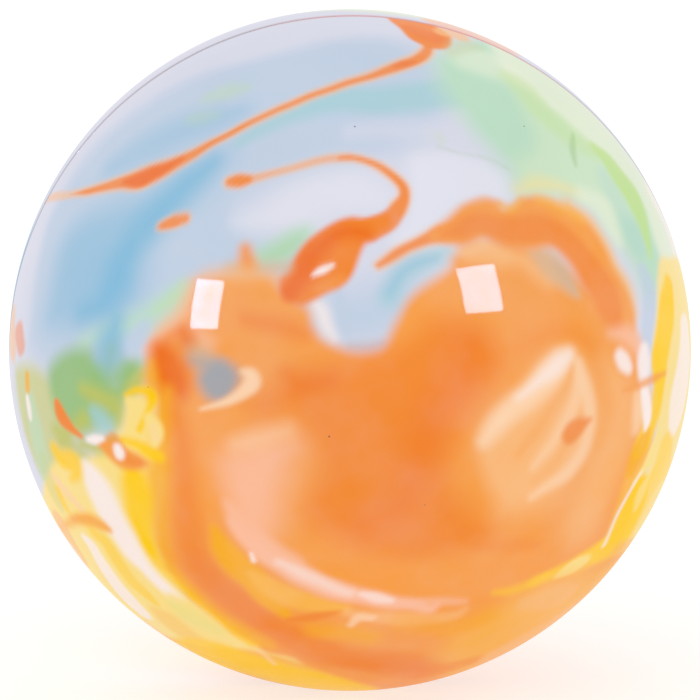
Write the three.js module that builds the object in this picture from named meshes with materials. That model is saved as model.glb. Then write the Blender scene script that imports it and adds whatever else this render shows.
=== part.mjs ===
// Field hockey ball: two marbled plastic half-shells, lapped and cemented at the parting line,
// closed over a centre of cork and wound yarn.
// Millimetres, +Z up. The origin is the ball's centre, the parting plane is XZ and the front half is at -Y.

import * as THREE from 'three';

// Ball and cover
const BALL_DIAMETER = 73;
const COVER_WALL = 6;

// Lap joint: a tongue on the front cover sits inside a lip on the rear one
const LIP_THICKNESS = 2.6;
const TONGUE_LENGTH = 3;

// V groove round the parting line and the bead of cement in it
const GROOVE_WIDTH = 0.9;
const GROOVE_DEPTH = 0.8;
const BEAD_RECESS = 0.05;
const BEAD_CLEARANCE = 0.1;

// Layers of the centre, from the cover inwards; the pill takes the room that is left
const OUTER_YARN = 3.6;
const CORK_WALL = 5;
const INNER_YARN = 3.2;
const TURN_GAP = 0.6;

// Clearance between neighbouring pieces
const FIT = 0.3;

// Facets of round surfaces
const COVER_SEGMENTS = 48;
const CORE_SEGMENTS = 32;
const STEPS_PER_TURN = 18;
const YARN_SIDES = 6;

const ballRadius = BALL_DIAMETER / 2;
const cavityRadius = ballRadius - COVER_WALL;
const lapRadius = ballRadius - LIP_THICKNESS;
const grooveFloor = ballRadius - GROOVE_DEPTH;

const outerWinding = windingLayer(cavityRadius - FIT, OUTER_YARN);
const corkOuter = outerWinding.innerRadius - FIT;
const corkInner = corkOuter - CORK_WALL;
const innerWinding = windingLayer(corkInner - FIT, INNER_YARN);
const pillRadius = innerWinding.innerRadius - FIT;

const MATERIALS = {
  marbledFront: plastic(0xf3b27c),
  marbledRear: plastic(0xcfd8e2),
  cement: new THREE.MeshStandardMaterial({ color: 0xc9a184, roughness: 0.45, metalness: 0 }),
  yarn: new THREE.MeshStandardMaterial({ color: 0xd9c7a4, roughness: 0.95, metalness: 0 }),
  cork: new THREE.MeshStandardMaterial({ color: 0xb98a5a, roughness: 0.9, metalness: 0 }),
  corkRubber: new THREE.MeshStandardMaterial({ color: 0x6b4a36, roughness: 0.85, metalness: 0 }),
};

function plastic(color) {
  return new THREE.MeshStandardMaterial({ color, roughness: 0.12, metalness: 0 });
}

// The radii that a layer of one strand fills inside a given radius. A turn is drawn in straight steps,
// so the middle of each step dips inwards.
function windingLayer(outerRadius, yarn) {
  const pathRadius = outerRadius - yarn / 2;
  const dip = pathRadius * (1 - Math.cos(Math.PI / STEPS_PER_TURN));
  return { yarn, pathRadius, innerRadius: pathRadius - dip - yarn / 2 };
}

// Points [radius, height] on a meridian of a sphere, from one height to another, in steps as long as
// the facets round a piece of that many segments.
function meridian(radius, fromHeight, toHeight, segments) {
  const from = Math.asin(fromHeight / radius);
  const to = Math.asin(toHeight / radius);
  const steps = Math.ceil((segments * Math.abs(to - from)) / (2 * Math.PI));
  const points = [];
  for (let i = 0; i <= steps; i++) {
    const angle = from + ((to - from) * i) / steps;
    points.push([radius * Math.cos(angle), radius * Math.sin(angle)]);
  }
  return points;
}

// A profile of [radius, height] points turned round the Y axis. Side -1 turns it over to the front.
function turned(profile, segments, side = 1) {
  const points = profile.map(([radius, height]) => new THREE.Vector2(Math.max(radius, 0), side * height));
  if (side < 0) points.reverse();
  return new THREE.LatheGeometry(points, segments);
}

// Outside of a cover, from the inner end of its groove wall up to the pole.
function coverOutside() {
  return [[grooveFloor, FIT / 2], ...meridian(ballRadius, GROOVE_WIDTH / 2, ballRadius, COVER_SEGMENTS)];
}

function frontCoverProfile() {
  const tongueRadius = lapRadius - FIT;
  return [
    ...meridian(cavityRadius, cavityRadius, 0, COVER_SEGMENTS),
    [cavityRadius, -TONGUE_LENGTH],
    [tongueRadius, -TONGUE_LENGTH],
    [tongueRadius, FIT / 2],
    ...coverOutside(),
  ];
}

function rearCoverProfile() {
  const rebateDepth = TONGUE_LENGTH + FIT;
  return [
    ...meridian(cavityRadius, cavityRadius, rebateDepth, COVER_SEGMENTS),
    [lapRadius, rebateDepth],
    [lapRadius, FIT / 2],
    ...coverOutside(),
  ];
}

// The bead's section is a V that narrows to the bottom of the groove.
function beadProfile() {
  const halfWidth = GROOVE_WIDTH / 2 - BEAD_CLEARANCE;
  const face = ballRadius - BEAD_RECESS;
  return [[grooveFloor, 0], [face, -halfWidth], [face, halfWidth], [grooveFloor, 0]];
}

function corkCupProfile() {
  return [
    ...meridian(corkInner, corkInner, FIT / 2, CORE_SEGMENTS),
    ...meridian(corkOuter, FIT / 2, corkOuter, CORE_SEGMENTS),
  ];
}

function pillProfile() {
  return meridian(pillRadius, -pillRadius, pillRadius, CORE_SEGMENTS);
}

// Centre line of one strand wound from pole to pole in even turns, open by one strand at each pole.
function windingPath({ yarn, pathRadius }) {
  const poleAngle = Math.asin((yarn + TURN_GAP) / pathRadius);
  const turns = (pathRadius * (Math.PI - 2 * poleAngle)) / (yarn + TURN_GAP);
  const steps = Math.round(turns * STEPS_PER_TURN);
  const points = [];
  for (let i = 0; i <= steps; i++) {
    const polar = poleAngle + ((Math.PI - 2 * poleAngle) * i) / steps;
    const around = (2 * Math.PI * turns * i) / steps;
    points.push(new THREE.Vector3().setFromSphericalCoords(pathRadius, polar, around));
  }
  return points;
}

// Least open distance between two turns of a strand, measured from point to point.
function leastTurnGap(points, yarn) {
  const halfTurn = Math.ceil(STEPS_PER_TURN / 2);
  let least = Infinity;
  for (let i = 0; i < points.length; i++) {
    for (let j = i + halfTurn; j < points.length; j++) {
      least = Math.min(least, points[i].distanceTo(points[j]) - yarn);
    }
  }
  return least;
}

// A closed tube along a path on a sphere, with one corner of its section pointing outwards.
function strandGeometry(points, yarn) {
  const positions = [];
  const index = [];
  const last = points.length - 1;
  points.forEach((point, i) => {
    const outward = point.clone().normalize();
    const along = points[Math.min(i + 1, last)].clone().sub(points[Math.max(i - 1, 0)]).normalize();
    const sideways = new THREE.Vector3().crossVectors(outward, along).normalize();
    for (let k = 0; k < YARN_SIDES; k++) {
      const angle = (2 * Math.PI * k) / YARN_SIDES;
      const corner = point.clone()
        .addScaledVector(outward, (yarn / 2) * Math.cos(angle))
        .addScaledVector(sideways, (yarn / 2) * Math.sin(angle));
      positions.push(...corner.toArray());
    }
  });
  for (let i = 0; i < last; i++) {
    for (let k = 0; k < YARN_SIDES; k++) {
      const a = i * YARN_SIDES + k;
      const b = i * YARN_SIDES + ((k + 1) % YARN_SIDES);
      index.push(a, a + YARN_SIDES, b, b, a + YARN_SIDES, b + YARN_SIDES);
    }
  }
  const end = last * YARN_SIDES;
  for (let k = 1; k < YARN_SIDES - 1; k++) {
    index.push(0, k, k + 1);
    index.push(end, end + k + 1, end + k);
  }
  const geometry = new THREE.BufferGeometry();
  geometry.setAttribute('position', new THREE.Float32BufferAttribute(positions, 3));
  geometry.setIndex(index);
  geometry.computeVertexNormals();
  return geometry;
}

function winding(name, layer) {
  const points = windingPath(layer);
  const gap = leastTurnGap(points, layer.yarn);
  console.log(`${name}: least gap between turns ${gap.toFixed(2)} mm`);
  return part(name, strandGeometry(points, layer.yarn), MATERIALS.yarn);
}

function part(name, geometry, material) {
  const mesh = new THREE.Mesh(geometry, material);
  mesh.name = name;
  return mesh;
}

function cover() {
  const group = new THREE.Group();
  group.add(
    part('front_cover', turned(frontCoverProfile(), COVER_SEGMENTS, -1), MATERIALS.marbledFront),
    part('rear_cover', turned(rearCoverProfile(), COVER_SEGMENTS), MATERIALS.marbledRear),
    part('seam_bead', turned(beadProfile(), COVER_SEGMENTS), MATERIALS.cement),
  );
  return group;
}

// The cork cups meet on the XY plane, across the cover's parting line, and the outer winding's poles
// are turned across the inner one's.
function centre() {
  const group = new THREE.Group();
  const layersTurned = new THREE.Group();
  layersTurned.rotation.x = Math.PI / 2;
  layersTurned.add(
    winding('outer_winding', outerWinding),
    part('upper_cork_cup', turned(corkCupProfile(), CORE_SEGMENTS), MATERIALS.cork),
    part('lower_cork_cup', turned(corkCupProfile(), CORE_SEGMENTS, -1), MATERIALS.cork),
  );
  group.add(
    layersTurned,
    winding('inner_winding', innerWinding),
    part('core_pill', turned(pillProfile(), CORE_SEGMENTS), MATERIALS.corkRubber),
  );
  return group;
}

const ball = new THREE.Group();
ball.name = 'field_hockey_ball';
ball.add(cover(), centre());

export default ball;
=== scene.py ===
"""Field hockey ball: two marbled plastic half-shells, cemented together over a centre of cork and yarn.

The marbling is painted stroke by stroke, in shares of a few pigments, on the covers' own vertices, with a
few painted glints and painted shade along the parting line.
"""
import math

import bpy
import numpy as np
from mathutils import Matrix, Quaternion, Vector


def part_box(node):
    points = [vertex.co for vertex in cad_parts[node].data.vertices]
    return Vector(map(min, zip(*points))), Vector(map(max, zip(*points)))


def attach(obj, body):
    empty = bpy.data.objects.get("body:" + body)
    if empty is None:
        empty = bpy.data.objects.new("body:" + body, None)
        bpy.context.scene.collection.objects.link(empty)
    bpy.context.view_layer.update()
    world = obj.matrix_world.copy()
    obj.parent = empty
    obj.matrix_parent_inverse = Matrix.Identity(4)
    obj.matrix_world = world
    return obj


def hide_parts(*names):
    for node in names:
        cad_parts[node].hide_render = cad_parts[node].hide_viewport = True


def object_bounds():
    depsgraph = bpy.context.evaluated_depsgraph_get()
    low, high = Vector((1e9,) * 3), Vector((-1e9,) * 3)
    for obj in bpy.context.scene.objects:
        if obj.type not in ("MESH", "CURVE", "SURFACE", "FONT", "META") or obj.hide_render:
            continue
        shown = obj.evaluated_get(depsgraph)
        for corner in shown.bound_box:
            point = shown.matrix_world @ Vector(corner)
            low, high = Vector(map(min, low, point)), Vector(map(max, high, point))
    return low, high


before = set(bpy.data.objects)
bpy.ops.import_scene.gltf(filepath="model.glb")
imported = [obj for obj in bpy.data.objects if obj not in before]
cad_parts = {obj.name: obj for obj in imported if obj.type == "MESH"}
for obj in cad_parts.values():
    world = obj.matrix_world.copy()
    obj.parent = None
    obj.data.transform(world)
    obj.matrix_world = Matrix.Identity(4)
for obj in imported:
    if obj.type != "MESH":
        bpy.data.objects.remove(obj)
cad_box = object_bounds()

# Covers and seam, in metres; the front cover's pole is at -Y and the parting plane is XZ
BALL_RADIUS = -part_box("front_cover")[0][1]
COVER_WALL = 0.006
LIP_THICKNESS = 0.0026
TONGUE_LENGTH = 0.003
FIT = 0.0003
SEAM_HALF_WIDTH = 0.00016
LIP_ROUND = 0.00018
BEAD_CLEARANCE = 0.00004
BEAD_RECESS = 0.00014
BEAD_DEPTH = 0.0008

# Centre, in metres; the grooves between the plies are a share of the yarn's radius
CORK_WALL = 0.005
CORK_ROUND = 0.0005
OUTER_YARN = 0.0036
INNER_YARN = 0.0032
TURN_GAP = 0.0006
LAY_LENGTH = 0.011
PLIES = 3
PLY_DEPTH = 0.22

# Fineness of the meshes
OUTSIDE_CELLS = 290
INSIDE_CELLS = 58
LIP_STEPS = 4
BEAD_SEGMENTS = 480
CENTRE_SEGMENTS = 96
CENTRE_STEPS = 24
STRAND_STEPS = 72
STRAND_SIDES = 15
SHARP_ANGLE = math.radians(40)

# Layout of the covers' UV map, in shares of its side
MAP_MARGIN = 0.008
MAP_OUTSIDE = 0.8
MAP_CORNER = 0.905
MAP_INSIDE = 0.07
MAP_RING = 0.0022

# Camera, as the photo's outline and parting line give it
VIEW_AZIMUTH = math.radians(-2.6)
VIEW_ELEVATION = math.radians(12.1)
VIEW_DISTANCE = 2.5
IMAGE_SIZE = 700
SENSOR_WIDTH = 36

# Light: directions are to the right in the photo, up in it and towards the camera
LEFT_SOFTBOX = (-0.744, 0.238, 0.624)
LEFT_SOFTBOX_SIZE = (0.21, 0.31)
LEFT_SOFTBOX_ROLL = math.radians(10)
LEFT_SOFTBOX_RADIANCE = 62
RIGHT_SOFTBOX = (0.684, 0.320, 0.655)
RIGHT_SOFTBOX_SIZE = (0.285, 0.3)
RIGHT_SOFTBOX_ROLL = math.radians(-8)
RIGHT_SOFTBOX_RADIANCE = 53
SOFTBOX_DISTANCE = 1.2
SOFTBOX_COLOUR = (0.66, 0.66, 1.0)
WHITE_LIGHT = (1, 1, 1, 1)
WORLD_LEVEL = 1.0
FLOOR_COLOUR = (0.42, 0.42, 0.42, 1)
FLOOR_GLOW = 0.6
FLOOR_LIFT = 0.04
FLOOR_REACH = 14

# Along the parting line, painted shade of the seam's groove and a stain of orange: reach in metres, cover,
# 8-bit sRGB colours, and where orange has run along it
SHADE_AND_STAIN_REACH = 0.0007
SHADE_AND_STAIN_COVER = 0.5
SEAM_GROOVE_SHADE = (142, 118, 114)
STAIN_ORANGE = (226, 92, 52)
STAIN_RUN_MIDDLE = math.radians(77)
STAIN_RUN_HALF = math.radians(23)

# Colours of specks, cement, yarn and the painted shade in its grooves, cork and rubber, as 8-bit sRGB
SPECK = (96, 74, 66)
CEMENT_DARK = (150, 104, 82)
CEMENT_PALE = (214, 140, 100)
YARN_GROOVE_SHADE = (126, 100, 68)
YARN_DARK = (196, 172, 132)
YARN_PALE = (228, 212, 180)
CORK_PORE = (84, 54, 32)
CORK_DARK = (158, 110, 66)
CORK_PALE = (206, 162, 112)
RUBBER = (78, 52, 40)
CRUMB = (170, 122, 78)

# Range that most of a noise lies in, and how much rougher a scuff is than the plastic round it
NOISE_RANGE = (0.3, 0.7)
SCUFF_ROUGHNESS = 0.08

# Colour sockets of the Mix node
MIX_FIRST = 6
MIX_SECOND = 7
MIX_RESULT = 2

# Outline of the ball in the photo, in pixels
OUTLINE_CENTRE = np.array((349.8, 350.1))
OUTLINE_RADIUS = 340.9

# Rear cover: half a turn about Z, and right, up and towards the camera, for one square behind the ball
HALF_TURN = (-1, -1, 1)
REAR_AXES = ((-1, 0, 0), (0, 0, 1), (0, 1, 0))

# Pigments of the plastic, as 8-bit sRGB; white also paints a few glints, which are painted highlights
PIGMENTS = {
    "lilac": (217, 218, 232),
    "pearl": (225, 226, 237),
    "periwinkle": (194, 208, 227),
    "sky": (130, 187, 218),
    "aqua": (168, 207, 215),
    "mint": (188, 222, 196),
    "mist": (208, 229, 198),
    "leaf": (148, 190, 116),
    "moss": (194, 196, 98),
    "sage": (206, 207, 144),
    "lime": (194, 224, 144),
    "haze": (228, 236, 212),
    "orange": (238, 115, 50),
    "tangerine": (242, 139, 66),
    "apricot": (246, 162, 85),
    "honey": (250, 186, 88),
    "peach": (249, 188, 128),
    "cream": (252, 212, 174),
    "pink": (250, 191, 160),
    "amber": (248, 176, 50),
    "yellow": (254, 206, 40),
    "lemon": (250, 223, 142),
    "white": (250, 236, 232),
    "grey": (160, 166, 174),
    "beige": (214, 186, 156),
}
PIGMENT_NAMES = list(PIGMENTS)
BASE_PIGMENT = "lilac"

# Edges of strokes waver to and fro: length and reach of the two wavers, in pixels
LONG_WAVER = (60, 3)
SHORT_WAVER = (17, 0.8)

# Threads: pigment, softness and cover of the core and of the paler edge, and the edge's reach in pixels
THREAD_CORE = ("tangerine", 7, 0.9)
THREAD_EDGE = ("peach", 9, 0.6)
THREAD_EDGE_REACH = 2.8

# Working of the strokes: steps to a span, least half width that is measured, and a guard against zero
SPLINE_STEPS = 6
LEAST_HALF_WIDTH = 0.5
TINY = 1e-9


def linear(rgb):
    """8-bit sRGB to linear colour."""
    share = np.asarray(rgb, float) / 255
    return np.where(share <= 0.04045, share / 12.92, ((share + 0.055) / 1.055) ** 2.4)


def ease(x):
    """A smooth step, from 0 at 0 to 1 at 1."""
    x = np.clip(x, 0, 1)
    return x * x * (3 - 2 * x)


def to_chart(pixels):
    """Photo pixels to places on the ball, unrolled from the middle of the view: pixels along the surface.

    Pixels outside the outline go on round to the side that the photo doesn't show.
    """
    offset = np.asarray(pixels, float) - OUTLINE_CENTRE
    reach = np.hypot(*offset.T) / OUTLINE_RADIUS
    distance = VIEW_DISTANCE / BALL_RADIUS
    ray = np.arctan(np.minimum(reach, 1) * math.tan(math.asin(1 / distance)))
    along = distance * np.cos(ray) - np.sqrt(np.maximum(1 - (distance * np.sin(ray)) ** 2, 0))
    turn = np.arctan2(along * np.sin(ray), distance - along * np.cos(ray)) + np.maximum(reach - 1, 0)
    scale = np.where(reach > TINY, turn / np.maximum(reach, TINY), 1.0)
    return offset * scale[:, None]


def spline(points, closed):
    """A Catmull-Rom curve through points, in a few steps to each span."""
    count = len(points)
    steps = np.linspace(0, 1, SPLINE_STEPS + 1)[:-1, None]
    out = []
    for i in range(count if closed else count - 1):
        if closed:
            a, b, c, d = (points[(i + k) % count] for k in (-1, 0, 1, 2))
        else:
            b, c = points[i], points[i + 1]
            a = points[i - 1] if i else 2 * b - c
            d = points[i + 2] if i + 2 < count else 2 * c - b
        out.append(0.5 * (2 * b + (c - a) * steps + (2 * a - 5 * b + 4 * c - d) * steps ** 2
                          + (3 * b - a - 3 * c + d) * steps ** 3))
    if not closed:
        out.append(points[-1:])
    return np.concatenate(out)


def waver(places, length, reach):
    """A fixed shift of places by waves of uneven rates, so that no edge is quite a drawn curve."""
    turns = places / length
    x = np.sin(turns[:, 1] * 1.7 + np.sin(turns[:, 0] * 1.3)) + np.sin(turns @ (1.1, -2.3) + 2)
    y = np.sin(turns[:, 0] * 1.9 + np.sin(turns[:, 1] * 1.1) + 1) + np.sin(turns @ (2.1, 1.4) + 4)
    return np.column_stack((x, y)) * reach / 2


class Marbling:
    """Shares of the pigments at places on a chart; each stroke covers what lies under it.

    A stroke has its pigment, the softness of its edge in pixels, how well it covers, and its points:
    (x, y) round a patch, or (x, y, half width) along a streak.
    """

    def __init__(self, places):
        self.places = places + waver(places, *LONG_WAVER) + waver(places[:, ::-1], *SHORT_WAVER)
        self.shares = np.zeros((len(places), len(PIGMENT_NAMES)), np.float32)
        self.shares[:, PIGMENT_NAMES.index(BASE_PIGMENT)] = 1

    def colours(self):
        return self.shares @ np.array([linear(rgb) for rgb in PIGMENTS.values()])

    def paint(self, strokes):
        """Lays the strokes in their order; half way over its soft edge a stroke hides half of its cover."""
        for pigment, soft, cover, *points in strokes:
            field = self.streak if len(points[0]) == 3 else self.patch
            near, depth = field(np.array(points, float), soft)
            hidden = cover * ease(depth / soft + 0.5)
            self.shares[near] *= (1 - hidden)[:, None]
            self.shares[near, PIGMENT_NAMES.index(pigment)] += hidden

    def close_to(self, path, reach):
        """Numbers of the places in the box round a path, widened by reach."""
        low, high = path.min(0) - reach, path.max(0) + reach
        return np.flatnonzero(((self.places > low) & (self.places < high)).all(1))

    def streak(self, points, soft):
        """Places near a streak, which is as wide as it looks in the photo, and how deep in it they lie."""
        along = np.gradient(points[:, :2], axis=0)
        half_width = np.maximum(points[:, 2:], LEAST_HALF_WIDTH)
        across = along[:, ::-1] * (1, -1) / np.hypot(*along.T)[:, None] * half_width
        left, right = to_chart(points[:, :2] + across), to_chart(points[:, :2] - across)
        on_chart = np.hypot(*(left - right).T) / 2 * points[:, 2] / half_width[:, 0]
        path = spline(np.column_stack(((left + right) / 2, on_chart)), False)
        near = self.close_to(path[:, :2], path[:, 2].max() + soft)
        at = self.places[near]
        depth = np.full(len(near), -np.inf)
        for a, b in zip(path[:-1], path[1:]):
            t, gap = nearest(at, a[:2], b[:2])
            depth = np.maximum(depth, a[2] + (b[2] - a[2]) * t - gap)
        return near, depth

    def patch(self, points, soft):
        """Places near a patch, and how deep inside its outline they lie."""
        path = spline(to_chart(points), True)
        near = self.close_to(path, soft)
        at = self.places[near]
        x, y = at.T
        depth = np.full(len(near), np.inf)
        inside = np.zeros(len(near), bool)
        for a, b in zip(path, np.roll(path, -1, 0)):
            depth = np.minimum(depth, nearest(at, a, b)[1])
            if a[1] != b[1]:
                crosses = (a[1] > y) != (b[1] > y)
                inside ^= crosses & (x < a[0] + (y - a[1]) * (b[0] - a[0]) / (b[1] - a[1]))
        return near, np.where(inside, depth, -depth)


def nearest(places, a, b):
    """How far along a span from a to b the point nearest to each place lies, and its distance."""
    span = b - a
    t = np.clip((places - a) @ span / max(span @ span, TINY), 0, 1)
    return t, np.hypot(*(places - a - t[:, None] * span).T)


def thread(*points):
    """Strokes of a thread of orange plastic along points (x, y, half width), with a soft paler edge."""
    edge = ((x, y, half_width + THREAD_EDGE_REACH) for x, y, half_width in points)
    return (*THREAD_EDGE, *edge), (*THREAD_CORE, *points)


# Strokes of the front cover, in pixels of the photo, in the order in which they cover each other
BLUE_FIELD = (
    ("periwinkle", 60, 1, (30, 350), (30, 290), (50, 215), (95, 145), (160, 95), (240, 60), (330, 42),
     (400, 42), (440, 70), (440, 120), (400, 150), (330, 165), (270, 185), (245, 215), (290, 250),
     (330, 290), (420, 270), (400, 330), (330, 345), (200, 300), (150, 350), (90, 390)),
    ("sky", 60, 0.6, (46, 325), (50, 290), (62, 245), (88, 216), (120, 200), (150, 188), (190, 165),
     (215, 152), (226, 158), (214, 182), (194, 205), (166, 228), (150, 252), (144, 282), (138, 305),
     (122, 322), (94, 330), (68, 330)),
    ("sky", 40, 0.8, (214, 164, 4), (192, 182, 11), (164, 207, 13), (142, 230, 13), (124, 256, 13),
     (114, 284, 14), (100, 302, 11), (80, 312, 6)),
    ("sky", 46, 0.4, (112, 168, 8), (150, 148, 14), (190, 128, 13), (236, 110, 8)),
    ("aqua", 24, 0.85, (240, 142, 4), (262, 128, 6), (298, 113, 8), (340, 101, 11), (380, 100, 13),
     (420, 96, 15), (456, 92, 14)),
    ("pearl", 40, 0.8, (262, 205), (300, 180), (340, 172), (375, 180), (395, 200), (380, 215), (340, 215),
     (310, 224), (280, 226), (250, 228), (234, 222)),
    ("pearl", 26, 1, (410, 160), (440, 152), (470, 156), (500, 168), (511, 183), (505, 200), (480, 200),
     (460, 210), (440, 225), (420, 240), (400, 250), (392, 240), (408, 215), (410, 190)),
    ("lilac", 34, 0.9, (22, 330, 7), (28, 260, 9), (50, 190, 10), (95, 120, 12), (165, 68, 15),
     (250, 40, 18), (330, 24, 9), (385, 26, 6)),
    ("periwinkle", 26, 0.5, (230, 100, 6), (289, 77, 10), (335, 52, 8), (380, 48, 4)),
    ("lime", 22, 0.3, (206, 98, 4), (226, 91, 7), (246, 86, 3)),
    ("lime", 20, 0.22, (190, 119, 4), (202, 117, 6), (214, 115, 3)),
    ("lime", 14, 0.3, (437, 135, 4), (441, 139, 4)),
)

MINT_FLOW = (
    ("mint", 50, 1, (434, 58), (458, 46), (500, 44), (552, 80), (606, 136), (648, 200), (664, 262),
     (650, 300), (630, 262), (610, 232), (590, 206), (560, 196), (530, 200), (518, 192), (510, 172),
     (492, 150), (470, 126), (452, 104), (438, 84)),
    ("mist", 40, 0.85, (500, 62), (532, 80), (562, 112), (604, 150), (634, 190), (642, 216), (620, 214),
     (596, 196), (560, 196), (526, 192), (518, 165), (535, 138), (520, 105)),
    ("mint", 36, 0.7, (470, 92, 4), (486, 102, 10), (498, 120, 13), (512, 138, 12), (526, 150, 5)),
    ("haze", 34, 0.6, (466, 62, 8), (490, 66, 12), (514, 74, 8)),
    ("lilac", 26, 0.6, (350, 132, 8), (400, 130, 10), (450, 132, 8)),
    ("haze", 28, 0.9, (480, 34), (540, 62), (600, 113), (652, 175), (686, 245), (686, 275), (664, 262),
     (642, 205), (614, 165), (585, 140), (555, 112), (528, 90), (504, 68)),
    ("lime", 24, 0.4, (508, 78, 5), (522, 88, 8), (540, 110, 9), (556, 124, 9), (572, 138, 8),
     (590, 150, 5)),
    ("lemon", 24, 0.5, (518, 190, 5), (536, 186, 8), (556, 188, 6), (580, 194, 3)),
    ("leaf", 7, 0.4, (571, 134, 1.2), (571, 146, 2.6), (573, 156, 2.2), (576, 166, 1.2)),
    ("aqua", 22, 0.25, (604, 176, 6), (614, 194, 8), (626, 218, 8), (638, 244, 7)),
    ("haze", 24, 0.8, (586, 196, 7), (602, 205, 9), (612, 224, 7), (618, 240, 4)),
    ("lime", 14, 0.85, (592, 146, 2.5), (606, 159, 5), (617, 174, 6), (632, 196, 6.5), (641, 217, 5.5),
     (647, 238, 3.5), (650, 256, 1.5)),
    ("white", 16, 0.6, (654, 200, 3), (668, 225, 4), (676, 250, 4)),
    ("periwinkle", 16, 0.75, (642, 272, 5), (648, 292, 7), (648, 318, 7), (647, 345, 6)),
    ("mint", 24, 1, (306, 230, 6), (292, 240, 11), (278, 250, 12), (262, 256, 8)),
    ("leaf", 26, 0.25, (300, 238, 6), (286, 247, 9), (268, 254, 7)),
    ("leaf", 7, 0.25, (438, 147, 0.8), (460, 152, 0.8), (488, 158, 0.8), (508, 169, 0.8)),
)

WARM_BODY = (
    ("apricot", 20, 1, (148, 356), (160, 332), (174, 316), (184, 300), (196, 284), (216, 276), (245, 268),
     (270, 274), (285, 290), (300, 302), (310, 312), (314, 328), (328, 342), (350, 351), (372, 353),
     (386, 346), (394, 322), (404, 302), (424, 284), (447, 268), (462, 250), (540, 250), (590, 290),
     (630, 330), (640, 345), (641, 430), (630, 480), (620, 540), (620, 620), (560, 720), (460, 790),
     (330, 800), (240, 740), (220, 640), (180, 590), (158, 540), (156, 480), (156, 430), (156, 400)),
    ("aqua", 26, 0.8, (446, 250, 4), (432, 257, 8), (414, 265, 9), (398, 276, 9), (386, 298, 9)),
    ("sky", 24, 0.45, (436, 258, 4), (412, 264, 5), (396, 276, 6), (386, 292, 5)),
    ("white", 18, 0.8, (310, 300, 3), (320, 312, 7), (327, 328, 6), (334, 338, 3)),
    ("periwinkle", 14, 0.8, (336, 296, 4), (341, 314, 6), (346, 332, 4)),
    ("grey", 14, 0.35, (352, 346, 3), (368, 347, 4), (382, 344, 3)),
    ("tangerine", 44, 0.8, (250, 402), (276, 380), (312, 366), (360, 356), (402, 344), (440, 318),
     (482, 330), (502, 362), (484, 396), (456, 436), (450, 486), (490, 534), (440, 556), (380, 556),
     (330, 540), (304, 512), (318, 470), (308, 436), (288, 416), (262, 418)),
    ("orange", 60, 0.35, (470, 345, 14), (462, 380, 20), (440, 414, 20), (420, 450, 16), (408, 487, 16),
     (390, 514, 13), (364, 524, 9)),
    ("tangerine", 24, 0.8, (246, 318, 7), (280, 326, 10), (304, 334, 7)),
    ("orange", 26, 0.4, (284, 372, 6), (300, 384, 10), (330, 380, 8)),
    ("pink", 54, 0.9, (228, 456), (252, 443), (282, 437), (300, 445), (294, 462), (284, 490), (276, 520),
     (262, 536), (244, 536), (228, 512), (222, 474)),
    ("cream", 30, 0.5, (238, 444, 5), (262, 438, 7), (288, 430, 5)),
    ("apricot", 24, 0.6, (208, 494, 6), (212, 516, 7), (214, 534, 5)),
    ("tangerine", 18, 0.4, (476, 546, 4), (511, 546, 7), (536, 545, 3)),
    ("peach", 56, 0.7, (612, 372, 8), (622, 404, 14), (616, 440, 18), (600, 476, 18), (580, 520, 16)),
    ("peach", 40, 0.5, (556, 470, 14), (540, 500, 16), (500, 512, 8)),
    ("honey", 20, 1, (646, 396, 5), (644, 440, 8), (636, 470, 8), (626, 505, 8), (612, 545, 8)),
    ("tangerine", 34, 0.35, (520, 345, 10), (560, 330, 10), (592, 346, 6)),
)

ARCH = (
    ("peach", 26, 0.75, (472, 254, 6), (496, 258, 9), (524, 262, 8), (548, 280, 7)),
    ("beige", 18, 0.75, (530, 253), (546, 249), (560, 258), (571, 274), (580, 296), (568, 294),
     (550, 280), (538, 266)),
    ("grey", 16, 0.15, (556, 264, 3), (566, 278, 5), (574, 292, 2)),
    ("peach", 18, 0.9, (464, 250, 5), (484, 245, 8), (506, 252, 6)),
    *thread((376, 266.5, 2.4), (394, 256, 4), (410, 247, 4), (429, 238, 5.5), (444, 232, 8), (456, 230, 6)),
    ("honey", 24, 0.75, (570, 208, 5), (588, 224, 8), (600, 246, 9), (609, 268, 9), (622, 290, 9),
     (630, 312, 6)),
    ("apricot", 16, 1, (430, 236), (446, 217), (462, 203), (480, 197), (494, 199), (504, 208), (513, 206),
     (522, 199), (538, 199), (558, 206), (579, 215), (595, 230), (604, 248), (612, 267), (624, 288),
     (632, 308), (636, 330), (630, 342), (616, 336), (604, 318), (595, 304), (585, 288), (576, 272),
     (564, 256), (551, 249), (535, 251), (520, 252), (506, 249), (496, 243), (486, 237), (475, 241),
     (463, 245), (451, 243), (440, 240)),
    ("tangerine", 18, 0.8, (444, 233, 4), (462, 227, 11), (480, 221, 12), (500, 228, 13), (520, 231, 14),
     (540, 231, 14), (558, 237, 12), (574, 251, 12), (588, 270, 13), (601, 290, 13), (609, 308, 12),
     (616, 324, 7)),
    ("amber", 14, 0.7, (500, 203, 3), (510, 208, 4.5), (520, 201, 3)),
    ("honey", 16, 0.6, (540, 202, 4), (562, 209, 5), (582, 220, 4)),
    ("apricot", 14, 0.5, (466, 206, 3), (482, 200, 4), (496, 203, 3)),
    ("pink", 24, 0.8, (612, 334, 4), (630, 336, 9), (640, 348, 6)),
)

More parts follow.
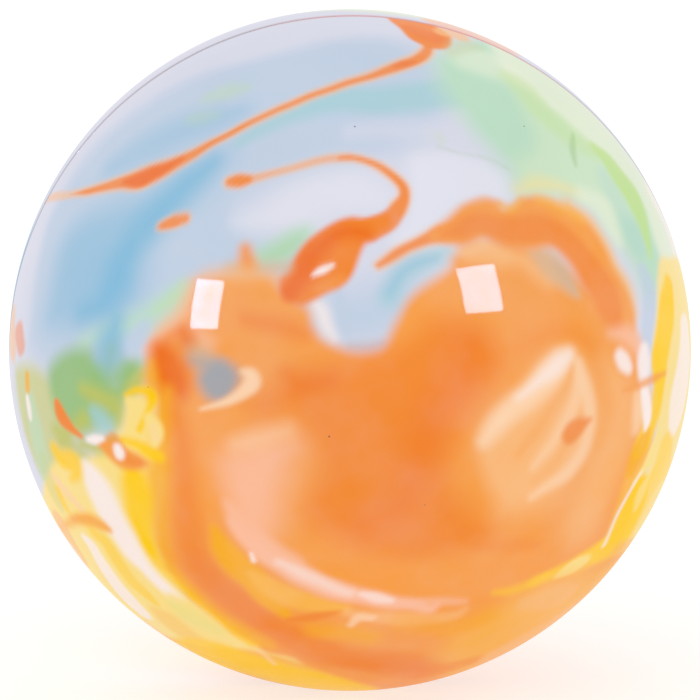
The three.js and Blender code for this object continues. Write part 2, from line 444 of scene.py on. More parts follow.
THREADS = (
    *thread((44, 202, -2), (76, 193.5, 0.6), (100, 188, 2.8), (123, 182, 4.8), (140, 179, 7.4),
     (157, 172, 7), (175, 164, 5.2), (192, 155.5, 4), (215, 141.5, 2.6), (258, 118, 2.2),
     (297, 102.2, 2.2), (335, 88, 2.2), (373, 75.3, 2.6), (400, 64.5, 4.4), (414, 59, 4.2), (424, 52, 4),
     (429, 45, 3.4)),
    ("orange", 9, 0.9, (124, 182, 2), (140, 179, 5.6), (154, 173, 5.6), (168, 167, 3.5), (184, 158, 1.5)),
    ("orange", 8, 0.5, (392, 66, 1.5), (402, 63, 3), (412, 61, 1.5)),
    ("tangerine", 9, 1, (388, 17), (402, 30), (412, 40), (429, 47), (446, 48), (453, 43), (452, 36),
     (440, 28), (419, 18), (402, 12)),
    ("orange", 12, 0.4, (412, 29, 3), (430, 36, 5), (445, 41, 3)),
    ("peach", 12, 0.7, (444, 32, 3), (452, 33, 4), (461, 37, 3)),
    ("sage", 22, 0.35, (450, 52, 4), (462, 46, 6), (474, 46, 4)),
    ("peach", 8, 0.6, (231, 183, 7), (241, 181, 8), (258, 177, 5), (281, 170, 4.5), (304, 164, 4.5),
     (327, 159, 4.5), (350, 157.7, 5), (365, 161, 5), (381, 169, 6), (396, 180, 6.5), (404, 190, 7.5),
     (405, 200, 8), (400, 209, 10)),
    ("tangerine", 7, 0.4, (249, 179, 3), (281, 170, 1.8), (304, 164, 2), (327, 159, 2.2),
     (350, 157.7, 2.6)),
    ("tangerine", 7, 0.9, (340, 158, 1.6), (352, 157.7, 2.2), (365, 161, 2.6), (381, 169, 3),
     (396, 180, 3.8), (404, 190, 4.4), (405, 200, 5.4), (401, 208, 7), (388, 224, 10), (371, 232, 12)),
    ("tangerine", 7, 0.9, (231, 183, 4), (240, 181, 6), (249, 179, 4)),
    ("tangerine", 10, 1, (390, 216), (371, 221), (352, 218), (333, 223), (314, 234), (299, 250),
     (289, 265), (283, 280), (281, 289), (288, 300), (300, 306), (312, 302), (325, 294), (338, 288),
     (350, 276), (362, 250), (371, 242), (390, 230)),
    ("orange", 20, 0.9, (366, 236, 5), (340, 234, 7), (314, 252, 10), (300, 272, 12), (293, 288, 8)),
    ("orange", 12, 0.9, (284, 280, 6), (289, 294, 7)),
    ("apricot", 14, 0.5, (318, 290, 4), (329, 285, 6), (338, 280, 4)),
    # Painted glint: a small white highlight on the gloss
    ("white", 7, 1, (312, 274, 1.5), (320, 270, 3.5), (329, 266, 2)),
    *thread((161, 226.5, 3.2), (173, 223.2, 5.2), (184, 220.5, 4)),
    ("tangerine", 12, 0.6, (19, 332, 4), (21, 346, 4)),
    ("peach", 16, 0.6, (12, 322, 3), (13, 348, 3)),
    ("beige", 18, 0.75, (230, 268, 5), (256, 266, 7), (284, 266, 7)),
    ("apricot", 18, 0.85, (245, 250, 7), (247, 262, 10)),
    ("tangerine", 14, 0.4, (245, 250, 4), (247, 258, 5)),
    ("peach", 24, 0.6, (276, 278, 5), (250, 273, 6), (224, 274, 6), (204, 278, 6), (186, 298, 7),
     (174, 316, 7), (160, 332, 8), (150, 350, 6)),
    # Partly a painted glow beside the left softbox's highlight, partly the soft pink edge between blue and
    # orange
    ("pink", 28, 0.6, (192, 290, 6), (184, 312, 9), (166, 334, 9), (154, 350, 5)),
    ("pink", 22, 0.6, (196, 330, 7), (206, 342, 8)),
    ("beige", 24, 0.7, (190, 346, 6), (202, 358, 10), (212, 366, 8)),
    ("grey", 22, 0.6, (192, 360, 6), (204, 364, 9), (216, 366, 8)),
    ("tangerine", 18, 0.6, (168, 338, 5), (162, 352, 7)),
    ("orange", 22, 0.65, (182, 333, 8), (186, 340, 8)),
    ("orange", 26, 0.9, (157, 350, 7), (167, 368, 17), (177, 383, 14), (184, 394, 5)),
)

LEFT_GREENS = (
    ("mint", 34, 0.8, (182, 288, 4), (172, 300, 9), (156, 312, 11), (134, 322, 10), (106, 332, 9),
     (82, 342, 6)),
    ("lime", 24, 0.35, (182, 288, 3), (173, 299, 6), (158, 310, 4)),
    ("sage", 30, 0.9, (14, 372), (30, 366), (50, 380), (60, 410), (70, 440), (62, 470), (44, 480),
     (30, 450), (18, 410)),
    ("leaf", 30, 0.9, (49, 370), (66, 350), (88, 348), (102, 364), (116, 384), (124, 362), (142, 366),
     (140, 388), (130, 402), (118, 424), (98, 430), (80, 434), (62, 424), (52, 400)),
    ("moss", 24, 0.8, (84, 388, 5), (96, 394, 9), (112, 404, 9), (122, 414, 7), (116, 428, 4)),
    ("moss", 24, 0.8, (56, 430, 5), (68, 434, 8), (84, 420, 8)),
    ("sky", 34, 0.8, (114, 322, 8), (110, 340, 13), (110, 354, 13), (111, 368, 7)),
    ("leaf", 24, 0.6, (98, 376, 8), (113, 382, 11), (132, 370, 8)),
    ("leaf", 24, 0.3, (111, 352, 7), (112, 366, 9)),
    ("periwinkle", 20, 0.9, (142, 328, 5), (134, 342, 7), (132, 352, 4)),
    ("moss", 18, 0.9, (142, 376, 5), (136, 388, 8), (130, 398, 6)),
    ("aqua", 20, 0.7, (96, 413, 5), (102, 420, 8), (108, 427, 5)),
    ("mint", 18, 0.55, (30, 400, 4), (36, 430, 6), (42, 458, 6), (50, 486, 5), (58, 506, 3)),
    ("lilac", 16, 0.6, (12, 380, 4), (18, 420, 4), (28, 460, 3)),
    ("amber", 8, 0.8, (27, 377, 2), (27.5, 390, 2.2)),
    # Painted glint: a small white highlight on the gloss near the left limb
    ("white", 7, 0.9, (27.5, 400, 1.6), (29, 408, 2), (30.5, 417, 1.6)),
)

LEFT_STRIPES = (
    ("lemon", 18, 1, (50, 470), (66, 456), (88, 456), (106, 442), (122, 426), (130, 402), (142, 394),
     (154, 396), (160, 420), (160, 470), (156, 510), (156, 545), (173, 580), (198, 608), (228, 632),
     (262, 650), (300, 668), (280, 780), (120, 720), (0, 600), (36, 510)),
    ("sage", 12, 0.4, (44, 462, 4), (52, 490, 4), (60, 508, 2)),
    ("moss", 16, 0.7, (62, 442, 5), (74, 450, 7), (84, 456, 4)),
    ("yellow", 16, 0.9, (55, 450, 4), (62, 459, 6), (73, 463, 8), (77, 472, 5), (72, 482, 2)),
    ("cream", 10, 0.6, (54, 478, 2.5), (64, 491, 3), (82, 510, 2.5)),
    ("yellow", 9, 0.6, (58, 492, 2), (63, 504, 2.5), (68, 513, 1.5)),
    ("moss", 20, 0.9, (82, 444, 5), (98, 448, 6), (112, 440, 5)),
    ("amber", 28, 0.85, (168, 392, 4), (164, 416, 7), (160, 456, 11), (155, 480, 13), (155, 506, 13),
     (159, 534, 10), (167, 560, 7)),
    ("yellow", 22, 1, (128, 466, 7), (133, 484, 13), (136, 500, 13), (139, 516, 11), (145, 534, 9),
     (152, 550, 6)),
    ("white", 18, 0.95, (86, 466, 4), (95, 482, 10), (103, 498, 11), (115, 521, 11), (126, 538, 10),
     (135, 553, 9), (146, 567, 6), (156, 579, 5.5), (166, 589, 5), (176, 598, 4)),
    ("yellow", 14, 0.8, (148, 544, 4), (160, 562, 5), (176, 580, 5), (192, 594, 5), (210, 610, 5),
     (228, 626, 5), (250, 642, 5)),
    ("amber", 14, 0.8, (172, 568, 4), (194, 588, 5), (218, 610, 6), (244, 630, 7), (266, 642, 6)),
    ("amber", 18, 0.85, (150, 366, 4), (151, 380, 7), (153, 394, 6)),
    ("yellow", 9, 0.9, (128, 396, 2), (138, 391, 3.5), (150, 392, 5), (154, 400, 5), (150, 410, 3),
     (146, 418, 3), (140, 430, 3)),
    ("yellow", 12, 0.9, (122, 440, 3), (136, 444, 5), (148, 452, 7), (158, 458, 5)),
    ("lemon", 9, 1, (131, 402, 4), (136, 409, 6), (134, 422, 4)),
    ("lemon", 10, 1, (150, 420, 5), (156, 430, 8), (154, 442, 5)),
    ("cream", 9, 0.4, (154, 428, 4), (156, 438, 4)),
    ("tangerine", 7, 1, (57, 403, 3), (60, 412, 5), (65, 421, 5), (73, 430, 3), (81, 436, 1.8)),
    ("apricot", 12, 1, (100, 444, 4), (110, 449, 8), (122, 457, 9), (134, 461, 8), (144, 464, 3)),
    ("tangerine", 10, 0.6, (108, 438, 3), (114, 438, 4), (126, 458, 4), (138, 463, 3)),
    # Painted glints: these two white strokes are highlights on the gloss
    ("white", 8, 1, (88, 439, 3), (94, 439, 4.8), (101, 438, 3)),
    ("white", 8, 1, (116.5, 449, 4.4), (117.5, 452, 5)),
    ("honey", 14, 0.9, (60, 530, 2), (72, 522, 5), (88, 520, 6), (100, 523, 5.5), (109, 528, 2.5)),
    ("apricot", 9, 0.5, (72, 521, 2), (88, 519, 3), (102, 524, 2.5), (110, 530, 1.5)),
    ("peach", 12, 0.7, (60, 522, 3), (66, 537, 5), (76, 552, 4)),
    ("yellow", 12, 0.6, (92, 532, 3), (107, 544, 5), (118, 562, 5), (130, 579, 4.5), (142, 591, 4),
     (154, 602, 2)),
    ("white", 10, 0.85, (84, 538, 2), (92, 547, 3.5), (103, 565, 4.2), (115, 582, 4.4), (128, 598, 4.6),
     (141, 611, 3.4)),
    ("cream", 12, 0.6, (74, 552, 3), (92, 580, 4), (114, 606, 4), (134, 624, 3)),
    ("lemon", 16, 0.9, (172, 598, 4), (190, 610, 7), (205, 621, 7), (220, 632, 3)),
    ("lime", 24, 0.2, (172, 604, 3), (184, 613, 6), (199, 622, 6), (214, 630, 4)),
    ("amber", 22, 0.35, (156, 612, 3), (167, 619, 6), (180, 629, 6), (194, 638, 4)),
)

LOWER_RIM = (
    ("honey", 18, 1, (150, 640), (190, 644), (224, 650), (250, 650), (285, 658), (330, 676), (380, 690),
     (430, 684), (450, 760), (300, 790), (180, 740)),
    ("yellow", 22, 0.85, (180, 650, 5), (215, 654, 9), (250, 664, 10), (285, 674, 10), (320, 683, 8),
     (356, 690, 5)),
    ("pink", 9, 0.5, (150, 628, 3), (165, 639, 3), (188, 652, 2.5)),
    # Painted highlight: a thin pale line of gloss
    ("cream", 8, 0.5, (252, 647, 1), (264, 655, 1.6), (272, 663, 1.4)),
)

BOWL = (
    ("tangerine", 28, 0.75, (178, 410, 5), (184, 440, 9), (184, 480, 11), (186, 520, 12), (196, 556, 14),
     (214, 582, 16), (240, 604, 17), (264, 620, 14), (292, 636, 14), (320, 650, 13), (352, 660, 10),
     (400, 662, 9), (440, 666, 6)),
    ("orange", 24, 0.2, (198, 560, 6), (218, 584, 9), (242, 604, 10), (262, 620, 8), (290, 636, 6)),
    ("amber", 14, 0.95, (212, 530, 4), (222, 548, 10), (236, 564, 12), (254, 580, 11), (268, 599, 8),
     (286, 612, 5)),
    ("honey", 14, 0.9, (252, 574, 3), (268, 586, 8), (290, 597, 10), (320, 604, 8), (345, 608, 5)),
    ("amber", 24, 0.6, (316, 630, 6), (344, 632, 8), (370, 638, 7)),
    ("tangerine", 9, 0.7, (292, 619, 1.5), (312, 617, 4), (330, 613.5, 3), (341, 611, 1)),
    ("pink", 18, 0.85, (222, 500), (236, 508), (256, 526), (280, 545), (300, 562), (285, 566), (262, 556),
     (244, 541), (228, 524)),
    ("peach", 14, 0.7, (350, 612, 4), (380, 618, 6), (410, 620, 6), (450, 616, 4), (466, 608, 1.5)),
    ("cream", 9, 0.7, (352, 624, 3), (360, 617, 4), (372, 618, 3)),
    ("pink", 14, 1, (230, 522, 4), (245, 538, 7), (262, 554, 8), (280, 566, 8), (302, 576, 10),
     (322, 586, 9), (345, 592, 9), (366, 597, 8), (390, 603, 7), (412, 606, 6), (428, 610, 4),
     (436, 606, 2)),
    ("pink", 14, 0.7, (420, 603, 3), (445, 602, 3.5), (466, 601, 1.5)),
    ("white", 14, 0.5, (276, 562, 3), (304, 575, 5), (328, 585, 5), (350, 592, 4)),
    ("white", 9, 0.6, (362, 594, 3), (376, 598, 5), (390, 601, 3)),
    # Painted glint: a tiny white highlight on the gloss
    ("white", 7, 0.9, (249, 553, 1.5), (252, 560, 2)),
    ("grey", 20, 0.95, (198, 376), (210, 364), (226, 362), (238, 374), (234, 390), (222, 400), (210, 399),
     (201, 389)),
    ("cream", 10, 0.95, (242, 371, 3), (249, 375, 7), (250, 383, 8.5), (243, 392, 7), (230, 400, 5),
     (216, 405, 3.2), (203, 409, 1.2)),
)

LEAF_SWIRL = (
    ("peach", 32, 0.9, (563, 350), (576, 354), (585, 368), (593, 387), (597, 406), (597, 423), (591, 442),
     (580, 460), (565, 479), (548, 492), (525, 505), (505, 508), (490, 493), (481, 470), (479, 445),
     (486, 425), (503, 404), (517, 390), (535, 366), (549, 353)),
    ("cream", 22, 0.95, (567, 356, 7), (557, 364, 11), (547, 377, 13), (532, 393, 13), (516, 408, 12),
     (500, 423, 10), (486, 440, 6)),
    ("white", 18, 0.65, (566, 357, 6), (558, 363, 9), (547, 373, 8), (534, 384, 5), (520, 396, 3)),
    ("cream", 16, 0.6, (576, 366, 3), (577, 385, 6), (575, 400, 6), (568, 420, 6), (557, 440, 5),
     (546, 456, 4), (534, 470, 2)),
    ("cream", 14, 0.7, (578, 364, 4), (586, 390, 6.5), (590, 412, 6), (590, 428, 5), (583, 453, 5),
     (569, 472, 5), (550, 487, 4), (530, 500, 3)),
    ("apricot", 16, 0.4, (571, 368, 1), (567, 382, 3), (558, 400, 4), (547, 418, 5), (534, 438, 6),
     (520, 456, 4)),
    ("apricot", 14, 0.3, (580, 416, 2), (573, 438, 3), (562, 456, 3.5), (550, 472, 3.5), (535, 484, 3)),
    ("tangerine", 10, 0.8, (571, 436, 7.5), (575, 430, 8), (583, 424, 5), (591, 419, 1.5)),
)

RIGHT_RIM = (
    ("lemon", 16, 0.95, (658, 268), (670, 258), (692, 262), (722, 330), (740, 430), (720, 540),
     (660, 610), (620, 580), (612, 560), (632, 510), (646, 470), (655, 430), (656, 390), (654, 340)),
    ("white", 12, 0.8, (684, 330, 4), (683, 370, 6), (678, 400, 7), (674, 420, 5)),
    ("yellow", 10, 0.9, (668, 284, 4), (666, 304, 7), (664, 326, 8), (662, 345, 8), (660, 360, 8),
     (660, 383, 6), (656, 406, 5.5), (649, 427, 6), (642, 442, 7), (637, 452, 5)),
    ("amber", 12, 0.7, (645, 436, 4), (640, 446, 6), (634, 459, 6), (630, 472, 4)),
    ("yellow", 14, 0.6, (664, 450, 6), (660, 469, 7), (652, 490, 8), (645, 508, 8)),
    ("lemon", 9, 1, (658, 436, 2), (651, 454, 3.4), (643, 470, 2.6), (635, 484, 2)),
    ("yellow", 12, 0.95, (640, 486, 5), (634, 505, 9), (624, 525, 10), (614, 543, 9), (602, 550, 7)),
    ("lemon", 9, 0.7, (645, 484, 2), (641, 494, 3.5), (637, 506, 2)),
    ("lemon", 14, 0.6, (654, 500, 4), (648, 515, 5), (636, 538, 5)),
    ("honey", 18, 0.8, (620, 556, 6), (600, 560, 10), (580, 566, 8)),
    ("yellow", 16, 0.85, (610, 544, 6), (600, 551, 7), (586, 559, 6), (570, 568, 5), (556, 574, 5),
     (536, 582, 4)),
    ("yellow", 14, 0.6, (545, 578, 4), (519, 588, 4), (496, 591, 2)),
    ("lemon", 9, 0.9, (586, 560, 3), (576, 566, 5), (566, 572, 4), (558, 577, 2)),
    ("white", 7, 0.9, (640, 474, 0.6), (632, 488, 1), (622, 506, 1), (613, 525, 1), (604, 545, 1)),
    ("white", 12, 0.9, (645, 348, 4), (645, 363, 6), (645, 378, 4)),
    ("white", 9, 1, (645, 388, 4), (646, 405, 5), (646, 420, 4), (644, 430, 1.5)),
    ("white", 12, 0.9, (621, 356, 6), (625, 361, 7.5), (629, 366, 5.5)),
    ("cream", 16, 0.7, (637, 392, 3), (637, 412, 5), (634, 430, 3)),
    ("apricot", 10, 0.8, (624, 389, 2), (634, 386, 3.5), (645, 382, 4), (656, 378, 3.5), (666, 374, 1.5)),
    ("apricot", 14, 0.7, (614, 562, 2), (600, 571, 5), (586, 580, 7), (574, 590, 7), (566, 596, 4)),
    ("pink", 14, 0.6, (620, 570, 4), (602, 588, 6), (582, 606, 6), (560, 618, 4)),
)

BOTTOM = (
    ("honey", 60, 0.8, (440, 650), (490, 612), (540, 584), (590, 572), (630, 570), (600, 620), (550, 660),
     (500, 690), (450, 690)),
    ("peach", 20, 0.5, (528, 603, 6), (554, 597, 9), (572, 590, 4)),
    ("amber", 26, 0.4, (399, 624, 6), (450, 626, 8), (490, 614, 6)),
    ("tangerine", 20, 0.5, (345, 664, 5), (382, 668, 7), (433, 670, 6), (470, 662, 3)),
    ("peach", 16, 0.5, (500, 652, 4), (540, 632, 6), (572, 612, 5)),
    ("honey", 30, 1, (480, 700), (560, 652), (620, 600), (700, 560), (780, 600), (700, 740), (560, 830),
     (460, 800)),
    ("tangerine", 34, 0.7, (420, 730, 10), (520, 720, 16), (610, 668, 12), (664, 610, 6)),
    ("amber", 30, 0.7, (300, 740, 10), (400, 762, 12), (500, 760, 10)),
)

FRONT_STROKES = (BLUE_FIELD + MINT_FLOW + WARM_BODY + ARCH + THREADS + LEFT_GREENS + LEFT_STRIPES
                 + LOWER_RIM + BOWL + LEAF_SWIRL + RIGHT_RIM + BOTTOM)

# Strokes of the rear cover, as if it had been photographed square from behind in the same way
REAR_STROKES = (
    ("periwinkle", 60, 1, (420, 40), (560, 90), (670, 220), (700, 360), (620, 430), (520, 370),
     (440, 290), (390, 200), (380, 110)),
    ("periwinkle", 60, 0.9, (0, 330), (10, 240), (60, 150), (110, 130), (130, 190), (90, 270)),
    ("sky", 60, 0.6, (600, 220), (670, 230), (690, 310), (620, 360), (530, 350), (440, 300), (470, 270)),
    ("sky", 44, 0.8, (660, 230, 8), (620, 290, 16), (560, 326, 16), (490, 322, 12), (430, 284, 6)),
    ("sky", 50, 0.6, (20, 300, 6), (56, 220, 14), (110, 160, 8)),
    ("aqua", 30, 0.8, (372, 128, 6), (440, 152, 12), (520, 166, 12), (610, 172, 6)),
    ("mint", 56, 0.95, (90, 220), (140, 140), (230, 80), (310, 70), (340, 120), (310, 190), (230, 226),
     (150, 250)),
    ("haze", 40, 0.9, (150, 100, 10), (225, 52, 14), (310, 24, 12), (380, 20, 6)),
    ("lime", 24, 0.8, (110, 232, 3), (160, 190, 6), (220, 160, 8), (290, 148, 3)),
    ("pink", 16, 0.7, (196, 47, 3), (226, 33, 5), (262, 20, 3)),
    ("apricot", 20, 1, (10, 330), (90, 280), (180, 252), (260, 252), (330, 286), (400, 350), (480, 400),
     (570, 446), (630, 500), (600, 600), (520, 690), (390, 740), (240, 720), (120, 650), (30, 530),
     (0, 420)),
    ("tangerine", 50, 0.7, (4, 360, 12), (50, 392, 20), (110, 420, 16)),
    ("peach", 50, 0.7, (10, 470, 10), (60, 520, 18), (120, 570, 14)),
    ("tangerine", 44, 0.8, (100, 340), (190, 320), (270, 360), (290, 420), (230, 460), (140, 440)),
    ("peach", 46, 0.8, (300, 440), (390, 440), (470, 492), (440, 560), (340, 576), (270, 520)),
    ("apricot", 20, 1, (40, 312, 6), (120, 272, 18), (200, 252, 25), (280, 268, 27), (345, 314, 22),
     (396, 368, 12)),
    ("tangerine", 18, 1, (60, 306, 4), (120, 272, 14), (200, 252, 20), (280, 268, 22), (345, 314, 18),
     (392, 366, 8)),
    ("orange", 24, 0.3, (120, 274, 6), (200, 256, 9), (280, 272, 10), (340, 314, 7)),
    ("grey", 22, 0.8, (240, 330), (272, 322), (296, 342), (284, 366), (252, 360)),
    ("cream", 9, 1, (298, 318, 2), (312, 334, 6), (306, 356, 7), (284, 374, 4), (256, 380, 2)),
    ("amber", 22, 0.95, (112, 510, 6), (160, 566, 12), (240, 612, 14), (340, 630, 12), (430, 616, 5)),
    ("pink", 12, 1, (170, 500, 4), (220, 544, 10), (300, 574, 12), (380, 584, 9), (456, 566, 3)),
    ("white", 10, 0.6, (240, 552, 3), (300, 575, 6), (360, 582, 4)),
    ("lemon", 14, 1, (612, 440), (680, 410), (720, 500), (650, 640), (560, 730), (440, 760), (470, 690),
     (560, 610), (604, 530)),
    ("amber", 30, 0.9, (540, 450, 6), (556, 510, 14), (530, 576, 16), (470, 632, 12)),
    ("yellow", 22, 1, (560, 450, 5), (578, 510, 14), (556, 570, 16), (500, 632, 13), (420, 668, 6)),
    ("white", 11, 1, (606, 446, 4), (618, 504, 9), (596, 566, 10), (544, 634, 9), (468, 682, 5)),
    ("amber", 12, 0.9, (640, 520, 4), (620, 580, 7), (570, 650, 8), (490, 704, 5)),
    ("moss", 30, 0.8, (590, 430, 6), (620, 452, 10), (660, 440, 6)),
    ("leaf", 34, 0.85, (598, 388), (640, 384), (662, 420), (634, 450), (596, 430)),
    ("aqua", 16, 0.8, (586, 372, 5), (602, 392, 8), (600, 412, 4)),
    *thread((398, 179, 0.5), (450, 214, 3), (510, 236, 5), (575, 228, 4), (636, 198, 1)),
    *thread((294, 122, 2), (345, 150, 3), (392, 204, 4), (424, 254, 7)),
    *thread((500, 110, 3), (530, 116, 6), (556, 128, 3)),
    ("peach", 22, 0.7, (120, 470), (150, 420), (220, 404), (280, 430), (250, 480), (180, 510)),
    ("cream", 10, 0.8, (140, 462, 4), (180, 432, 8), (230, 420, 6), (270, 434, 3)),
    ("orange", 14, 0.8, (60, 430, 5), (76, 452, 9), (90, 466, 5)),
)


def view_axes():
    """Unit vectors to the right of the photo, up in it and from the ball to the camera."""
    level = math.cos(VIEW_ELEVATION)
    back = Vector((math.sin(VIEW_AZIMUTH) * level, -math.cos(VIEW_AZIMUTH) * level,
                   math.sin(VIEW_ELEVATION)))
    right = Vector((math.cos(VIEW_AZIMUTH), math.sin(VIEW_AZIMUTH), 0))
    return right, back.cross(right), back


def marbled(points, axes, strokes):
    """Colours of points of the ball, from strokes on the chart that is unrolled from the last axis."""
    right, up, back = (np.array(axis) for axis in axes)
    points = points / np.linalg.norm(points, axis=1)[:, None]
    flat = np.column_stack((points @ right, -(points @ up)))
    angle = np.arccos(np.clip(points @ back, -1, 1))
    marbling = Marbling(flat * (OUTLINE_RADIUS * angle / np.maximum(np.hypot(*flat.T), TINY))[:, None])
    marbling.paint(strokes)
    return marbling.colours()


def shade_and_stain_lips(points, colours):
    """Darkens the lips along the parting line as painted shade of the seam's groove, and reddens them where
    orange has run along it.
    """
    share = SHADE_AND_STAIN_COVER * ease(1 - np.abs(points[:, 1]) / SHADE_AND_STAIN_REACH)[:, None]
    around = np.arctan2(points[:, 2], points[:, 0])
    run = ease(0.5 + 1 - np.abs(around - STAIN_RUN_MIDDLE) / STAIN_RUN_HALF)[:, None]
    # Painted shade of the seam's groove darkens the lips; the orange is a real stain
    shade_and_stain = linear(SEAM_GROOVE_SHADE) * (1 - run) + linear(STAIN_ORANGE) * run
    return colours * (1 - share) + shade_and_stain * share


def square_grid(cells):
    """Points of a square from -1 to 1, its quads, and the points of its border in order."""
    side = np.linspace(-1, 1, cells + 1)
    x, y = np.meshgrid(side, side)
    number = np.arange((cells + 1) ** 2).reshape(cells + 1, cells + 1)
    corners = (number[:-1, :-1], number[:-1, 1:], number[1:, 1:], number[1:, :-1])
    quads = np.stack(corners, -1).reshape(-1, 4)
    border = np.concatenate((number[0, :-1], number[:-1, -1], number[-1, :0:-1], number[:0:-1, 0]))
    return np.column_stack((x.ravel(), y.ravel())), quads, border


def square_to_disc(square):
    """Concentric map of a square to a disc that keeps areas in proportion."""
    x, y = square.T
    wide = np.abs(x) >= np.abs(y)
    reach = np.where(wide, x, y)
    ratio = np.where(wide, y, x) / np.where(reach == 0, 1, reach)
    turn = np.where(wide, ratio, 2 - ratio) * math.pi / 4
    return np.column_stack((reach * np.cos(turn), reach * np.sin(turn)))


def dome(square, radius, rim_height):
    """The square laid over a dome about -Y, from its pole down to rim_height above the parting plane."""
    disc = square_to_disc(square)
    area = (disc ** 2).sum(1) * (1 - rim_height / radius)
    flat = disc * np.sqrt((1 - rim_height / radius) * (2 - area))[:, None]
    return radius * np.column_stack((flat[:, 0], area - 1, flat[:, 1]))


def cup_mesh(name, rim_profile, inner_rim_height):
    """A closed half-shell about -Y: a fine outside, rings along the rim's profile and a coarser inside."""
    square, quads, border = square_grid(OUTSIDE_CELLS)
    outside = dome(square, BALL_RADIUS, rim_profile[0][1])
    around = np.arctan2(outside[border, 2], outside[border, 0])
    rings = [np.column_stack((r * np.cos(around), np.full(len(around), -h), r * np.sin(around)))
             for r, h in rim_profile[1:]]
    inner_square, inner_quads, inner_border = square_grid(INSIDE_CELLS)
    inside = dome(inner_square, BALL_RADIUS - COVER_WALL, inner_rim_height)
    points = np.concatenate((outside, *rings, inside))

    loops = [border] + [len(outside) + k * len(border) + np.arange(len(border)) for k in range(len(rings))]
    first_inner = len(outside) + len(rings) * len(border)
    faces = quads.tolist()
    for outer, inner in zip(loops[:-1], loops[1:]):
        faces += np.column_stack((np.roll(outer, -1), outer, inner, np.roll(inner, -1))).tolist()
    ratio = OUTSIDE_CELLS // INSIDE_CELLS
    last = loops[-1]
    inner_loop = first_inner + inner_border
    for k, corner in enumerate(inner_loop):
        fine = [last[(k * ratio + step) % len(last)] for step in range(ratio, -1, -1)]
        faces.append([int(i) for i in (*fine, corner, inner_loop[(k + 1) % len(inner_loop)])])
    faces += (first_inner + inner_quads[:, ::-1]).tolist()

    mesh = bpy.data.meshes.new(name)
    mesh.from_pydata(points, [], faces)
    add_map(mesh, square, len(quads), loops, first_inner, inner_square)
    return mesh, points


def add_map(mesh, square, outside_faces, loops, first_inner, inner_square):
    """UV map: the outside fills most of it, and the rim's rings and the inside share a corner."""
    outside_map = MAP_MARGIN + (square + 1) / 2 * MAP_OUTSIDE
    inside_map = np.zeros((len(mesh.vertices), 2))
    inside_map[first_inner:] = MAP_CORNER + inner_square * MAP_INSIDE
    for k, loop in enumerate(loops):
        half = MAP_INSIDE + MAP_RING * (len(loops) - k)
        inside_map[loop] = MAP_CORNER + square[loops[0]] * half
    corners = np.zeros(len(mesh.loops), np.int32)
    mesh.loops.foreach_get("vertex_index", corners)
    split = outside_faces * 4
    both = np.concatenate((outside_map[corners[:split]], inside_map[corners[split:]]))
    mesh.uv_layers.new(name="OFBake").data.foreach_set("uv", both.ravel().astype(np.float32))


def lip_profile():
    """Radius and height of the lip, from the outside round to the face that meets the other cover."""
    height = SEAM_HALF_WIDTH + LIP_ROUND
    profile = [(math.sqrt(BALL_RADIUS ** 2 - height ** 2), height)]
    for step in range(1, LIP_STEPS + 1):
        angle = step / LIP_STEPS * math.pi / 2
        radius = BALL_RADIUS - LIP_ROUND * (1 - math.cos(angle))
        profile.append((radius, height - LIP_ROUND * math.sin(angle)))
    return profile


def front_rim():
    """The lip, and the tongue inside it that enters the rear cover."""
    tongue_radius = BALL_RADIUS - LIP_THICKNESS - FIT
    return lip_profile() + [(tongue_radius, SEAM_HALF_WIDTH), (tongue_radius, -TONGUE_LENGTH),
                            (BALL_RADIUS - COVER_WALL, -TONGUE_LENGTH)]


def rear_rim():
    """The lip, and the room inside it for the front cover's tongue."""
    lap_radius = BALL_RADIUS - LIP_THICKNESS
    return lip_profile() + [(lap_radius, SEAM_HALF_WIDTH), (lap_radius, TONGUE_LENGTH + FIT)]


def front_cover(material):
    mesh, points = cup_mesh("front_cover_shell", front_rim(), 0)
    paint_cover(mesh, points, marbled(points, view_axes(), FRONT_STROKES))
    finish_piece(mesh, "front_cover", material)


def rear_cover(material):
    """Built about -Y as the front cover is, and then turned half round."""
    mesh, points = cup_mesh("rear_cover_shell", rear_rim(), TONGUE_LENGTH + FIT)
    points = points * HALF_TURN
    mesh.vertices.foreach_set("co", points.ravel().astype(np.float32))
    paint_cover(mesh, points, marbled(points, REAR_AXES, REAR_STROKES))
    finish_piece(mesh, "rear_cover", material)


def paint_cover(mesh, points, colours):
    # The marbling attribute holds the pigments, painted glints included, and the painted shade of the seam's
    # groove
    paint = np.column_stack((shade_and_stain_lips(points, colours), np.ones(len(points))))
    mesh.color_attributes.new("marbling", "FLOAT_COLOR", "POINT").data.foreach_set("color", paint.ravel())


def put_in_scene(name, data):
    thing = bpy.data.objects.new(name, data)
    bpy.context.scene.collection.objects.link(thing)
    return thing


def finish_piece(mesh, node, material):
    """Makes a piece of a mesh, under the mesh's name, in place of a node of the frame."""
    mesh.validate()
    mesh.shade_smooth()
    mesh.set_sharp_from_angle(angle=SHARP_ANGLE)
    mesh.materials.append(material)
    piece = put_in_scene(mesh.name, mesh)
    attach(piece, "root")
    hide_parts(node)


